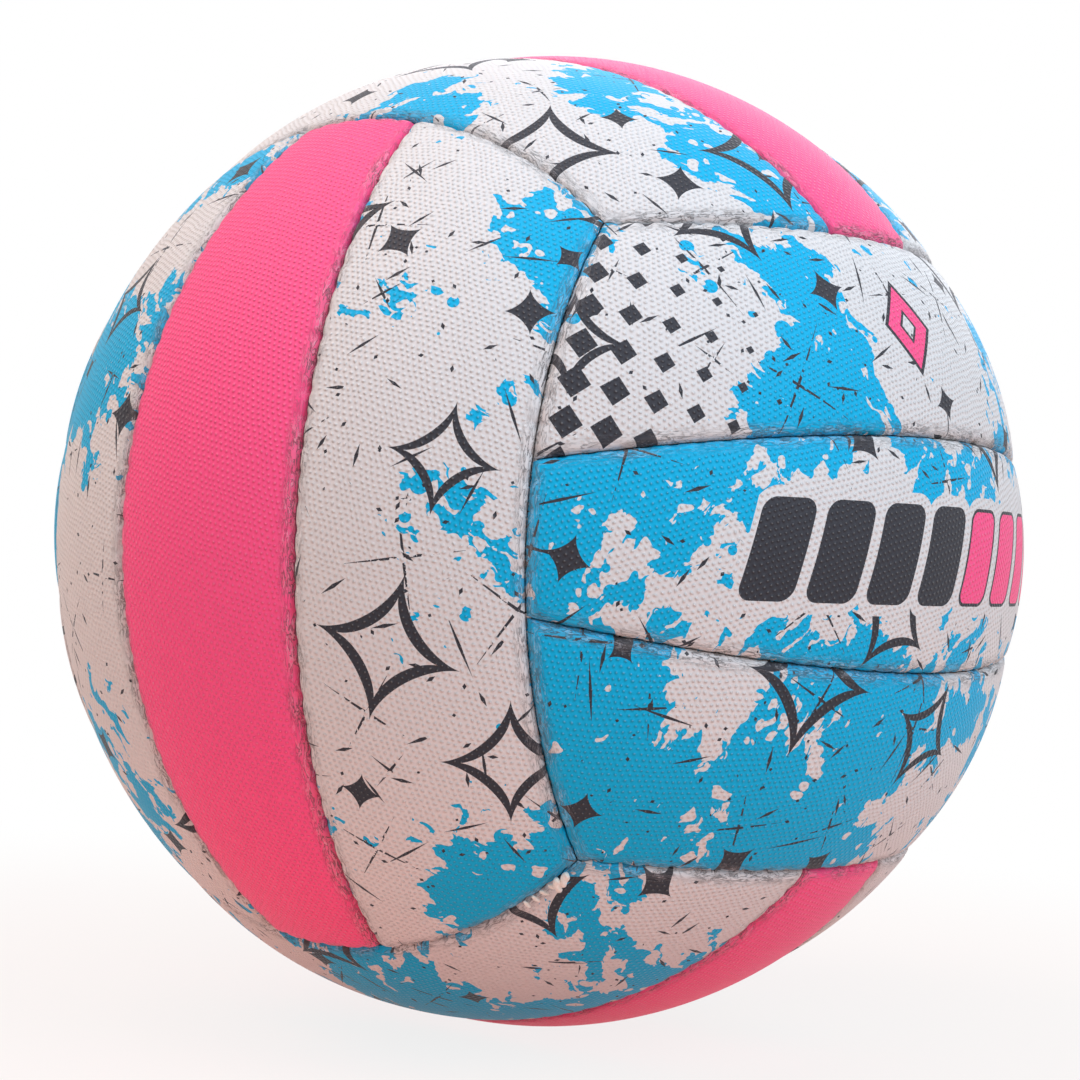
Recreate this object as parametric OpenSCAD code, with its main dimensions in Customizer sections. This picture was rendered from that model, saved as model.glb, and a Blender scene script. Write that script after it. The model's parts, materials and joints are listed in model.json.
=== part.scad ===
// Eighteen-panel netball: six faces of three crowned strips, whose edges turn in
// and are laced together from behind, round a bladder with a needle valve.

/* [Ball] */
// Circumference round the crowns of the panels
ball_girth = 700; // [620:1:740]
// Width of a face's middle strip, along the surface
strip_w = 49.8; // [44:0.1:56]
// How far a seam between two faces bows into the face that it runs along
seam_bow = 15.4; // [10:0.1:20]
// Height of a strip's middle above its long sides
panel_crown = 1; // [0.6:0.1:1.3]
// Height of a strip's middle above its two ends
length_crown = 0.8; // [0.5:0.1:1]

/* [Cover] */
// Thickness of the rubber skin and of its turned edge
skin_t = 1.2; // [0.9:0.1:1.5]
// Radius of the shoulder where a strip's long sides turn in
shoulder_r = 2.6; // [2.2:0.1:3]
// Radius of the tighter shoulder at a strip's two ends
end_shoulder_r = 2.3; // [2:0.1:2.5]
// Gap between the turned edges of two panels
seam_gap = 0.4; // [0.2:0.1:0.8]
// Extra clearance at a strip's two ends
end_clear = 0.1; // [0.05:0.05:0.2]
// Width of turned edge left below the stitch holes
edge_margin = 0.6; // [0.4:0.1:1]

/* [Lining] */
// Thickness of the laminated cloth where it meets the turned edges
lining_t = 1.1; // [0.7:0.1:1.6]
// Clearance round a lining in its panel
lining_fit = 0.1; // [0.05:0.05:0.2]

/* [Lacing] */
// Distance from one stitch to the next
stitch_pitch = 5.6; // [5:0.1:8]
// Diameter of the waxed thread
thread_d = 0.7; // [0.5:0.05:0.8]
// Clearance of the thread in its holes and beside the edges
thread_fit = 0.05; // [0.02:0.01:0.1]
// Bare length of seam at a corner
corner_clear = 5; // [4:0.5:8]
// Number of closing stitches, tied from outside
closing_count = 5; // [2:1:8]
// Distance from one closing stitch to the next
closing_pitch = 2.4; // [1.6:0.1:3]
// Thickness of a closing stitch
closing_d = 1; // [0.8:0.1:1.2]
// Width of a closing stitch across the groove
closing_w = 2.6; // [2.2:0.1:3]

/* [Bladder] */
// Wall of the bladder
bladder_t = 0.8; // [0.6:0.1:1.2]
// Clearance between the bladder and the turned edges
bladder_fit = 0.1; // [0.05:0.05:0.3]
// Diameter of the disc that reinforces the bladder at the valve
patch_d = 30; // [22:1:36]
// Thickness of that disc
patch_t = 1.4; // [0.8:0.1:2]

/* [Valve] */
// Bore of the valve's tube
tube_bore_d = 6.8; // [5:0.1:7]
// Thickness of the tube's wall
tube_wall = 2.1; // [1:0.1:3]
// Length of the valve's tube
tube_l = 13; // [12:0.5:18]
// Diameter of the plug's head
head_d = 8.6; // [8:0.1:9]
// Depth of the plug's head below the crown
head_sink = 0.1; // [0.05:0.05:0.2]
// Diameter of the needle hole
needle_d = 2; // [1.6:0.1:2.4]
// Length of the needle hole's straight wall
needle_l = 8; // [6:0.5:8.5]
// Depth of the cone that leads into the needle hole
lead_in = 0.4; // [0.2:0.1:0.6]
// Clearance round the valve's pieces
valve_fit = 0.1; // [0.05:0.05:0.2]

/* [Hidden] */
quarter = 90;
half_turn = 180;
ball_r = ball_girth / (2 * PI);

// Each face has its own frame: X out of the face, Y across its strips and Z along them.
// A seam is a circle on the ball: an axis, the way to its middle, its polar angle from
// the axis, and how far it runs each way from its middle.
function degrees(length, radius) = length / radius * half_turn / PI;
function heading(angle) = [cos(angle), sin(angle), 0];
strip_angle = degrees(strip_w / 2, ball_r);
side_angle = quarter / 2 - degrees(seam_bow, ball_r);
corner_share = 1 / sqrt(3);
seam_tilt = atan((sin(side_angle) - corner_share) / (cos(side_angle) - corner_share));
seam_polar = acos((cos(seam_tilt) - sin(seam_tilt)) * corner_share);
seam_reach = atan(1 / (cos(seam_tilt) + sin(seam_tilt)));
end_angle = quarter - side_angle;
strip_reach = acos(cos(seam_polar) / norm([cos(seam_tilt) * cos(strip_angle), sin(seam_tilt)]))
    - atan2(sin(seam_tilt), cos(seam_tilt) * cos(strip_angle));
tee_side = cos(strip_reach) * sin(strip_angle);
tee_angle = asin(tee_side / sin(seam_polar));
outer_middle = (strip_angle + side_angle) / 2;

INNER = [heading(quarter + strip_angle), heading(strip_angle), quarter, strip_reach];
INNER_BACK = [heading(-quarter - strip_angle), heading(-strip_angle), quarter, strip_reach];
EDGE = [heading(quarter + seam_tilt), heading(seam_tilt), seam_polar, seam_reach];
EDGE_BACK = [heading(-quarter - seam_tilt), heading(-seam_tilt), seam_polar, seam_reach];
function end(z) = [
    [cos(seam_tilt), 0, -z * sin(seam_tilt)],
    [sin(seam_tilt), 0, z * cos(seam_tilt)],
    seam_polar,
    seam_reach
];

// The seams round each strip: the seam, the side of its circle that the strip is on, how
// far the strip's wall stands back from it, and the radius of the strip's shoulder there
side_back = seam_gap / 2;
end_back = seam_gap / 2 + end_clear;
ENDS = [[end(1), -1, end_back, end_shoulder_r], [end(-1), -1, end_back, end_shoulder_r]];
MIDDLE = concat([[INNER, 1, side_back, shoulder_r], [INNER_BACK, 1, side_back, shoulder_r]], ENDS);
OUTER = concat([[INNER, -1, side_back, shoulder_r], [EDGE, 1, side_back, shoulder_r]], ENDS);

// Radii of a strip's crown, across it and along it
half_len = ball_r * end_angle * PI / half_turn;
across_r = 1 / (1 / ball_r + 2 * panel_crown / pow(strip_w / 2, 2));
along_r = 1 / (1 / ball_r + 2 * length_crown / pow(half_len, 2));
crown_shift = ball_r - along_r;

// Distances from the ball's centre, from the seam's shoulder inwards
seam_r = ball_r - panel_crown;
lining_r = seam_r - skin_t - lining_fit - lining_t;
stitch_r = lining_r - thread_fit - thread_d / 2;
hole_d = thread_d + 2 * thread_fit;
tip_r = stitch_r - hole_d / 2 - edge_margin;
bladder_r = tip_r - bladder_fit;
inside_r = bladder_r - bladder_t;

// The shoulder's arc: how far its centre lies inside the wall and below the seam's height
wall_share = 0.97;
crest_share = 0.2;

// The band that a strip is cut from, and the masks that cut it
overrun = 6;
core_share = 0.7;
band_share = 0.26;
mask_share = 0.28;
spare_angle = 4;

// The lacing: rails behind the turned edges, and rungs through them
rail_side = side_back + skin_t + thread_fit + thread_d / 2;
rail_end = end_back + skin_t + thread_fit + thread_d / 2;
rung_share = 0.8;

// A closing stitch lies across the groove, on the higher of the two shoulders beside it
closing_reach = (closing_w - closing_d) / 2;
function closing_lift(cut) =
    sqrt(pow(cut[3] + closing_d / 2 + thread_fit, 2) - pow(cut[2] + wall_share * cut[3] - closing_reach, 2))
    - (1 - crest_share) * cut[3];
closing_r = seam_r + max(closing_lift(OUTER[1]), closing_lift(OUTER[2]));

// The valve, along X of the back face
tube_d = tube_bore_d + 2 * tube_wall;
tube_top = ball_r - skin_t - valve_fit - pow(tube_d / 2, 2) / (2 * across_r);
head_top = ball_r - head_sink;
shank_d = tube_bore_d - valve_fit;
shank_l = tube_l - valve_fit;

// Colours
white_rubber = "#ECE9E7";
pink_rubber = "#FF6BA3";
blue_rubber = "#7CC8E6";
cloth = "#F1EBDD";
waxed_thread = "#F4F2EE";
butyl = "#2B2B2E";
latex = "#D9C9A3";

FACES = ["front", "right", "top", "back", "left", "bottom"];
SIDES = [["middle", "right", "left"], ["middle", "upper", "lower"], ["middle", "front", "back"]];
function cover_name(i, k) = str(FACES[i], "_panel_", SIDES[i % 3][k]);
function lining_name(i, k) = str(FACES[i], "_lining_", SIDES[i % 3][k]);
function strip_lacing_name(i) = str(FACES[i], "_strip_lacing");
function edge_lacing_name(i) = str(FACES[i], "_edge_lacing");

// Carries a face's frame onto face i. The last three lie opposite the first three.
module on_face(i) {
    turns = [[-quarter, [0, 0, 1]], [quarter, [1, 0, 0]], [half_turn, [1, 0, 1]]];
    rotate(turns[i % 3][0], turns[i % 3][1])
        rotate([0, i > 2 ? half_turn : 0, 0])
            children();
}

// Turns a strip at the front of its face over to the back of it
module on_side(k) {
    rotate([k == 2 ? half_turn : 0, 0, 0]) children();
}

// Sets Z on a seam's axis, with X towards the seam's middle
module on_seam(seam) {
    z = seam[0];
    x = seam[1];
    y = cross(z, x);
    multmatrix([[x[0], y[0], z[0], 0], [x[1], y[1], z[1], 0], [x[2], y[2], z[2], 0], [0, 0, 0, 1]])
        children();
}

// A point of a seam's section, at a distance from the centre and beside the seam
function beside(polar, distance, side) = [
    distance * sin(polar) + side * cos(polar),
    distance * cos(polar) - side * sin(polar)
];

module arc_sweep(reach) {
    rotate([0, 0, -reach])
        rotate_extrude(angle = 2 * reach, $fn = 180)
            children();
}

// All that lies beyond one seam of a strip, with the flare that rounds its shoulder.
// The inset is how far inside the skin's outer face the cut runs.
module beyond_seam(seam, side, setback, shoulder, inset) {
    polar = seam[2];
    wall = setback + inset;
    crest = setback + wall_share * shoulder;
    low = core_share * ball_r;
    high = ball_r + overrun;
    arc_r = seam_r - (1 - crest_share) * shoulder;
    on_seam(seam) arc_sweep(seam[3] + 2 * spare_angle) {
        polygon([for (p = [[low, -mask_share * ball_r], [high, -mask_share * ball_r], [high, wall], [low, wall]])
            beside(polar, p[0], side * p[1])]);
        difference() {
            polygon([for (p = [[arc_r, 0], [high, 0], [high, crest], [arc_r, crest]])
                beside(polar, p[0], side * p[1])]);
            translate(beside(polar, arc_r, side * crest))
                circle(r = shoulder - inset, $fn = 96);
        }
    }
}

// The crowned band that a strip is cut from
module band(k, inset) {
    middle = k == 0 ? 0 : outer_middle;
    on_seam([heading(quarter + middle), heading(middle)])
        translate([crown_shift, 0, 0])
            arc_sweep(end_angle + spare_angle) intersection() {
                translate([ball_r - across_r - crown_shift, 0]) circle(r = across_r - inset, $fn = 360);
                translate([core_share * ball_r, -band_share * ball_r]) square([ball_r, 2 * band_share * ball_r]);
            }
}

// A strip down to a floor, trimmed at its seams one after another
module strip(k, inset, floor_r, trims = 4) {
    cut = (k == 0 ? MIDDLE : OUTER)[max(trims - 1, 0)];
    difference() {
        if (trims == 0) band(k, inset);
        else strip(k, inset, floor_r, trims - 1);
        if (trims == 0) sphere(r = floor_r, $fn = 180);
        else beyond_seam(cut[0], cut[1], cut[2], cut[3], inset);
    }
}

// Angles of the stitches along a seam, which leave out its corners and its T junctions
function stitch_angles(seam) =
    let (ring_r = stitch_r * sin(seam[2]), clear = degrees(corner_clear, ring_r))
    let (count = floor(2 * (seam[3] - clear) / degrees(stitch_pitch, ring_r)))
    [for (j = [0:count])
        let (angle = (j - count / 2) * degrees(stitch_pitch, ring_r))
        if (seam[2] == quarter || abs(abs(angle) - tee_angle) > clear / 2) angle];

// Does a stitch of an end seam lie in the end of strip k?
function in_strip(k, seam, angle) =
    let (y = sin(seam[2]) * (cos(angle) * seam[1] + sin(angle) * cross(seam[0], seam[1]))[1])
    seam[0][1] != 0 || (k == 0 ? abs(y) < tee_side : y > tee_side);

module at_stitch(seam, angle) {
    on_seam(seam)
        rotate([0, 0, angle])
            translate([stitch_r * sin(seam[2]), 0, stitch_r * cos(seam[2])])
                rotate([0, quarter + seam[2], 0])
                    children();
}

module stitch_holes(k) {
    for (s = k == 0 ? MIDDLE : OUTER)
        for (angle = stitch_angles(s[0]))
            if (in_strip(k, s[0], angle))
                at_stitch(s[0], angle)
                    cylinder(d = hole_d, h = 2 * (rail_end + thread_d), center = true, $fn = 16);
}

module along_valve(distance) {
    rotate([0, quarter, 0]) translate([0, 0, distance]) children();
}

// A panel: a crowned strip of skin with its four edges turned in and punched for the lacing
module cover(i, k) {
    color(k > 0 ? white_rubber : i % 3 == 1 ? blue_rubber : pink_rubber)
    on_face(i) on_side(k) difference() {
        difference() {
            strip(k, 0, tip_r);
            strip(k, skin_t, tip_r - skin_t);
        }
        stitch_holes(k);
        if (FACES[i] == "back" && k == 0)
            along_valve(lining_r) cylinder(d = head_d + 2 * valve_fit, h = overrun, $fn = 64);
    }
}

// The cloth that lies between a panel's turned edges
module lining(i, k) {
    color(cloth)
    on_face(i) on_side(k) difference() {
        strip(k, skin_t + lining_fit, lining_r);
        if (FACES[i] == "back" && k == 0)
            along_valve(lining_r - overrun) cylinder(d = tube_d + 2 * valve_fit, h = 2 * overrun, $fn = 64);
    }
}

// A rail of flattened thread behind the turned edges on one side of a seam
module rail(seam, offset, first, last) {
    tail = degrees(thread_d, stitch_r * sin(seam[2]));
    on_seam(seam)
        rotate([0, 0, first - tail])
            rotate_extrude(angle = last - first + 2 * tail, $fn = 180)
                polygon([for (p = [[-1, -1], [1, -1], [1, 1], [-1, 1]])
                    beside(seam[2], stitch_r + p[0] * thread_d / 2, offset + p[1] * thread_d / 2)]);
}

// The whole lacing of a seam. Where strips end against it, the rail behind them stops
// at the junctions.
module lacing(seam) {
    angles = stitch_angles(seam);
    color(waxed_thread) {
        rail(seam, rail_side, min(angles), max(angles));
        if (seam[2] == quarter) {
            rail(seam, -rail_side, min(angles), max(angles));
        } else {
            before = [for (a = angles) if (a < -tee_angle) a];
            between = [for (a = angles) if (abs(a) < tee_angle) a];
            after = [for (a = angles) if (a > tee_angle) a];
            for (run = [before, between, after]) rail(seam, -rail_end, min(run), max(run));
        }
        for (angle = angles)
            at_stitch(seam, angle)
                cylinder(d = rung_share * thread_d, h = 2 * rail_side, center = true, $fn = 16);
    }
}

module strip_lacing(i) {
    on_face(i) {
        lacing(INNER);
        lacing(INNER_BACK);
    }
}

module edge_lacing(i) {
    on_face(i) {
        lacing(EDGE);
        lacing(EDGE_BACK);
    }
}

// The last stitches, tied from outside across the groove
module closing_stitches() {
    color(waxed_thread)
    on_face(5) on_seam(EDGE)
        for (j = [0:closing_count - 1])
            rotate([0, 0, seam_reach - degrees(corner_clear + j * closing_pitch, closing_r * sin(seam_polar))])
                translate([closing_r * sin(seam_polar), 0, closing_r * cos(seam_polar)])
                    rotate([0, quarter + seam_polar, 0]) {
                        cylinder(d = closing_d, h = 2 * closing_reach, center = true, $fn = 32);
                        for (side = [-1, 1])
                            translate([0, 0, side * closing_reach]) sphere(d = closing_d, $fn = 32);
                    }
}

module bladder() {
    color(latex) on_face(3) difference() {
        sphere(r = bladder_r, $fn = 180);
        sphere(r = inside_r, $fn = 180);
        along_valve(inside_r - overrun) cylinder(d = tube_d + 2 * valve_fit, h = 2 * overrun, $fn = 64);
    }
}

module valve_patch() {
    color(butyl) on_face(3) rotate([0, quarter, 0]) rotate_extrude($fn = 64) intersection() {
        difference() {
            circle(r = inside_r - valve_fit, $fn = 360);
            circle(r = inside_r - valve_fit - patch_t, $fn = 360);
        }
        translate([tube_d / 2 + valve_fit, 0]) square([(patch_d - tube_d) / 2 - valve_fit, inside_r + overrun]);
    }
}

module valve_tube() {
    color(butyl) on_face(3) along_valve(tube_top - tube_l) difference() {
        cylinder(d = tube_d, h = tube_l, $fn = 64);
        translate([0, 0, -overrun]) cylinder(d = tube_bore_d, h = tube_l + 2 * overrun, $fn = 64);
    }
}

module valve_plug() {
    neck = head_top - lead_in;
    color(butyl) on_face(3) difference() {
        union() {
            along_valve(tube_top - shank_l) cylinder(d = shank_d, h = head_top - tube_top + shank_l, $fn = 64);
            along_valve(tube_top) cylinder(d = head_d, h = head_top - tube_top, $fn = 64);
        }
        along_valve(neck - needle_l) cylinder(d = needle_d, h = needle_l + overrun, $fn = 32);
        along_valve(neck) cylinder(d1 = needle_d, d2 = needle_d + 4 * lead_in, h = 2 * lead_in, $fn = 32);
    }
}

for (i = [0:5]) {
    for (k = [0:2]) cover(i, k);
    for (k = [0:2]) lining(i, k);
    strip_lacing(i);
    edge_lacing(i);
}
closing_stitches();
bladder();
valve_patch();
valve_tube();
valve_plug();
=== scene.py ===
"""Dresses a packed netball in pebbled, printed rubber and sets it in a plain studio.

Lengths are in metres, in the ball's own frame: -Y is the front face, +X the right face
and +Z the top face. A face has three strips, and its own frame has X out of the face,
Y across its strips and Z along them.
"""

import json
import math
from functools import partial

import bpy
import numpy as np
from mathutils import Matrix, Vector


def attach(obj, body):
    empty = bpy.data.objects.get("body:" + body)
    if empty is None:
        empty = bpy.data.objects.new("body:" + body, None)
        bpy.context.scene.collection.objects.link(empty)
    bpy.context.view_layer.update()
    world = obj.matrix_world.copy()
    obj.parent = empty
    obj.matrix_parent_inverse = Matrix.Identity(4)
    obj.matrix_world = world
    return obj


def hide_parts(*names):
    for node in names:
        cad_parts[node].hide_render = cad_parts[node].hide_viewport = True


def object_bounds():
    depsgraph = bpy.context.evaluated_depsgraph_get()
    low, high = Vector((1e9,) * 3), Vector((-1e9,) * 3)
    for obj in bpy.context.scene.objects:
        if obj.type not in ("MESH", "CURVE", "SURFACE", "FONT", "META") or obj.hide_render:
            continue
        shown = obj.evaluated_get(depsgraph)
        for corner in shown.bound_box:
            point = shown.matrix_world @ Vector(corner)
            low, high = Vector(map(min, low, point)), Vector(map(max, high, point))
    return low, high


bl_info = {
    "name": "Netball looks",
    "version": (1, 0, 0),
    "blender": (4, 5, 0),
    "location": "3D View > Sidebar > Netball",
    "description": "Dresses a packed netball in printed rubber and sets it in a studio",
    "category": "Object",
}

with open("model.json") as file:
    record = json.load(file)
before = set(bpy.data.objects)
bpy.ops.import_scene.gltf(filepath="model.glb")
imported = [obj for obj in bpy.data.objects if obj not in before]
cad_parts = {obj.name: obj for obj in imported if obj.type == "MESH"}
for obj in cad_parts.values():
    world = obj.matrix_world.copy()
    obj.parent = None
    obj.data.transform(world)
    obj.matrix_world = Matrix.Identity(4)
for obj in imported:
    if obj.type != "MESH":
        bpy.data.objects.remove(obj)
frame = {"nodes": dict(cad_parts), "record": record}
CAD_BOX = [list(corner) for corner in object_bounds()]
BALL_RADIUS = (CAD_BOX[1][0] - CAD_BOX[0][0]) / 2
MM = 0.001
BODY = "root"

FACES = ("front", "right", "top", "back", "left", "bottom")
SIDES = (("middle", "right", "left"), ("middle", "upper", "lower"), ("middle", "front", "back"))


def linear(code):
    """The linear colour of an sRGB hex code."""
    parts = [int(code[i : i + 2], 16) / 255 for i in (1, 3, 5)]
    return tuple(c / 12.92 if c <= 0.04045 else ((c + 0.055) / 1.055) ** 2.4 for c in parts)


# Sizes and colours


def length(name, description, default):
    return bpy.props.FloatProperty(
        name=name, description=description, default=default, min=0, unit="LENGTH", precision=5
    )


def tint(name, description, code):
    return bpy.props.FloatVectorProperty(
        name=name, description=description, default=linear(code), min=0, max=1, size=3, subtype="COLOR"
    )


class NetballSizes(bpy.types.PropertyGroup):
    """Sizes of the ball's panels, grooves and grip"""

    strip_width: length("Strip width", "Width of a face's middle strip along the surface", 49.8 * MM)
    seam_bow: length("Seam bow", "How far a seam between two faces bows into the long one", 15.4 * MM)
    panel_crown: length("Crown across", "Height of a strip's middle above its long sides", 1.1 * MM)
    length_crown: length("Crown along", "Height of a strip's middle above its ends", 0.8 * MM)
    shoulder: length("Shoulder", "Radius at which the rubber turns into a groove", 2.4 * MM)
    groove: length("Groove", "Width of the gap between two panels", 0.3 * MM)
    turned_edge: length("Turned edge", "Depth of the turned edge below the shoulder", 3.7 * MM)
    skin: length("Skin", "Thickness of the rubber", 1.0 * MM)
    stitch_pitch: length("Stitch pitch", "Distance from one hidden stitch to the next", 5.6 * MM)
    pucker: length("Pucker", "Depth of the dent that a stitch pulls into the shoulder", 0.8 * MM)
    grip_pitch: length("Grip pitch", "Distance from one pimple of the grip to the next", 1.35 * MM)
    grip_height: length("Grip height", "Height of a pimple of the grip", 0.31 * MM)
    valve_hole: length("Valve hole", "Radius of the hole round the valve plug", 4.4 * MM)
    thread: length("Thread", "Thickness of the closing thread", 1.0 * MM)


class NetballColours(bpy.types.PropertyGroup):
    """Colours of the ball's rubber, print and thread"""

    white: tint("White", "Bare white rubber", "#DAD6D4")
    pink: tint("Pink", "Rubber of the pink strips", "#FC578C")
    blue: tint("Blue", "Blue print", "#00ACDA")
    ink: tint("Ink", "Charcoal print", "#36363C")
    worn: tint("Worn", "Print rubbed thin beside a seam", "#CFCACB")
    # Painted shade: the colour painted into the cracks beside a seam
    crack_shade: tint("Crack shade", "Dust in the creases beside a seam", "#6F6A69")
    thread: tint("Thread", "Waxed thread", "#F1ECE2")
    cloth: tint("Cloth", "Laminated cloth of the linings", "#EFE8D8")
    latex: tint("Latex", "Latex of the bladder", "#D6C49C")
    butyl: tint("Butyl", "Butyl rubber of the valve", "#2A2A2D")


class NetballStudio(bpy.types.PropertyGroup):
    """The camera and the light"""

    distance: bpy.props.FloatProperty(
        name="Distance", description="Camera distance in ball radii", default=5.143, min=2
    )
    lens: bpy.props.FloatProperty(
        name="Lens", description="Focal length on a 36 mm sensor", default=81.9, min=10, unit="CAMERA"
    )
    level: bpy.props.FloatProperty(
        name="Light level", description="Brightness of all the lamps together", default=1.0, min=0
    )
    floor: tint("Floor", "Pale floor", "#E3C2B4")
    # The floor's warm glow: an emission from the floor, which lights the ball from below
    floor_glow: tint("Floor glow", "Warm light that the floor throws up at the ball", "#FF6846")
    ambient: tint("Ambient", "Light from all round", "#E8F0F8")


# Shape of the panels


def heading(angle):
    return np.array([math.cos(angle), math.sin(angle), 0.0])


class Layout:
    """The seams of one face, worked out from the sizes as angles on the ball.

    A seam is a circle on the ball. The seams between strips are great circles through
    the face's Z axis. The seams between faces are smaller circles, tilted so that three
    of them meet at each corner of the cube that the six faces form.
    """

    def __init__(self, sizes):
        self.radius = BALL_RADIUS
        self.strip = sizes.strip_width / 2 / self.radius
        self.side = math.pi / 4 - sizes.seam_bow / self.radius
        corner = 1 / math.sqrt(3)
        self.tilt = math.atan((math.sin(self.side) - corner) / (math.cos(self.side) - corner))
        self.polar = math.acos((math.cos(self.tilt) - math.sin(self.tilt)) * corner)
        self.reach = math.atan(1 / (math.cos(self.tilt) + math.sin(self.tilt)))
        self.outer = (self.strip + self.side) / 2
        self.half_length = self.radius * (math.pi / 2 - self.side)

    def seams(self, outer):
        """Axis, polar angle, side and forward direction of the four seams round a strip."""
        across, along = math.pi / 2 + self.strip, self.tilt
        rows = [(heading(across), math.pi / 2, -1 if outer else 1, heading(self.strip))]
        if outer:
            rows.append((heading(math.pi / 2 + along), self.polar, 1, heading(along)))
        else:
            rows.append((heading(-across), math.pi / 2, 1, heading(-self.strip)))
        for z in (1, -1):
            axis = np.array([math.cos(along), 0, -z * math.sin(along)])
            rows.append((axis, self.polar, -1, np.array([math.sin(along), 0, z * math.cos(along)])))
        return rows

    def side_line(self, tilt, polar, height):
        """Angle across the face of a long seam, at each height angle along it."""
        return tilt + np.arcsin(math.cos(polar) / np.cos(height))

    def end_line(self, polar, turn):
        """Height angle of the seam at a strip's end, at each angle across the face."""
        lean, drop = np.cos(turn) * math.cos(self.tilt), math.sin(self.tilt)
        return np.arccos(math.cos(polar) / np.hypot(lean, drop)) - np.arctan2(drop, lean)


def strip_directions(layout, outer, gap, across, along):
    """Unit directions over one strip, for two arrays of shares from 0 to 1.

    The strip's four sides are the seams, each moved inwards by half the groove. The
    angles inside are a Coons patch: the blend of the two long sides, plus the blend of
    the two ends, less the blend of the four corners.
    """
    inset = gap / 2 / layout.radius
    if outer:
        near = partial(layout.side_line, layout.strip, math.pi / 2 - inset)
        far = partial(layout.side_line, layout.tilt, layout.polar + inset)
    else:
        near = partial(layout.side_line, -layout.strip, math.pi / 2 - inset)
        far = partial(layout.side_line, layout.strip, math.pi / 2 + inset)
    end = partial(layout.end_line, layout.polar - inset)
    # Going from side to end and back again closes in on the corner that they share
    corners = []
    for line in (near, far):
        top = math.pi / 4
        for _ in range(40):
            top = float(end(line(top)))
        corners.append((float(line(top)), top))
    (turn_near, top_near), (turn_far, top_far) = corners
    u, v = np.meshgrid(across, along, indexing="ij")
    rise = 2 * v - 1
    long_near = np.stack([near(rise * top_near), rise * top_near])
    long_far = np.stack([far(rise * top_far), rise * top_far])
    turn = turn_near + (turn_far - turn_near) * u
    end_high = np.stack([turn, end(turn)])
    end_low = np.stack([turn, -end(turn)])
    flat_top = top_near + (top_far - top_near) * u
    bilinear = np.stack([turn, rise * flat_top])
    sides = (1 - u) * long_near + u * long_far
    ends = (1 - v) * end_low + v * end_high
    turns, heights = sides + ends - bilinear
    level = np.cos(heights)
    return np.stack([level * np.cos(turns), level * np.sin(turns), np.sin(heights)], -1)


def seam_places(layout, outer, directions):
    """Distance from each seam, and distance along it, of every direction, in metres."""
    beside, along = [], []
    for axis, polar, side, ahead in layout.seams(outer):
        beside.append(side * layout.radius * (np.arccos(directions @ axis) - polar))
        turn = np.arctan2(directions @ np.cross(axis, ahead), directions @ ahead)
        along.append(turn * layout.radius * math.sin(polar))
    return np.stack(beside), np.stack(along)


# How far from the seam a stitch's dent has faded to a third
DENT_REACH = 1.1 * MM


def panel_radius(layout, sizes, outer, directions, beside, along):
    """Distance of a panel's surface from the ball's centre.

    The crown falls with the square of the distance from the strip's middle line and from
    its middle. Each shoulder is a circular arc that ends in the wall of its groove. The
    lowest of them all is taken with a soft minimum, -k log(sum of exp(-r / k)), and each
    hidden stitch then pulls a small dent into the shoulder.
    """
    middle = layout.outer if outer else 0.0
    across = layout.radius * np.arcsin(directions @ heading(math.pi / 2 + middle))
    length_along = layout.radius * np.arctan2(directions[..., 2], directions @ heading(middle))
    crown = (
        layout.radius
        - sizes.panel_crown * (across / (sizes.strip_width / 2)) ** 2
        - sizes.length_crown * (length_along / layout.half_length) ** 2
    )
    base = layout.radius - sizes.panel_crown
    bend, softness = sizes.shoulder, 0.22 * MM
    # The arc's centre lies a little less than its radius from the edge, so that the
    # steepest part is left out, and so low that the arc rises above the crown
    centre = sizes.groove / 2 + 0.97 * bend
    share = np.clip((centre - beside) / bend, 0, 0.985)
    arc = bend * np.sqrt(1 - share**2)
    shoulders = base - 0.8 * bend + arc + np.maximum(beside - centre, 0)
    heights = np.concatenate([crown[None], shoulders])
    lowest = heights.min(0)
    surface = lowest - softness * np.log(np.exp((lowest - heights) / softness).sum(0))
    dents = (0.5 + 0.5 * np.cos(2 * math.pi * along / sizes.stitch_pitch)) ** 4
    dents = dents * np.exp(-np.maximum(beside - sizes.groove / 2, 0) / DENT_REACH)
    return surface - sizes.pucker * dents.sum(0)


def face_turn(index, side):
    """The rotation from a face's own frame to the ball's, with the strip's side.

    Three turns make the front, right and top faces. Half a turn about Y then makes the
    face opposite, and half a turn about the face's own X the strip on the other side.
    """
    turns = ((-math.pi / 2, (0, 0, 1)), (math.pi / 2, (1, 0, 0)), (math.pi, (1, 0, 1)))
    angle, axis = turns[index % 3]
    turn = Matrix.Rotation(angle, 3, Vector(axis).normalized())
    if index > 2:
        turn = turn @ Matrix.Rotation(math.pi, 3, "Y")
    if side == 2:
        turn = turn @ Matrix.Rotation(math.pi, 3, "X")
    return np.array(turn)


def edge_spacing(span, fine, coarse):
    """Shares from 0 to 1 across a span: fine steps beside both ends, even steps between."""
    ends = fine / span
    steps = max(2, round(span * (1 - 2 * ends[-1]) / coarse))
    inner = np.linspace(ends[-1], 1 - ends[-1], steps + 1)
    return np.concatenate([ends[:-1], inner, 1 - ends[-2::-1]])


def perimeter(rows, columns):
    """Indices round the edge of a grid, in one loop."""
    grid = np.arange(rows * columns).reshape(rows, columns)
    return np.concatenate([grid[0, :-1], grid[:-1, -1], grid[-1, :0:-1], grid[:0:-1, 0]])


# Places of a panel's grid lines beside a seam, and the spacing of those in the open
SHOULDER_LINES = np.array([0, 0.08, 0.2, 0.36, 0.56, 0.8, 1.1, 1.5, 2.0, 2.6, 3.4]) * MM
OPEN_SPACING = 0.95 * MM
# Rings of the turned edge, and how much of its depth the shoulder has already taken up
EDGE_RINGS = 6
SHOULDER_DROP = 1.3 * MM


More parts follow.
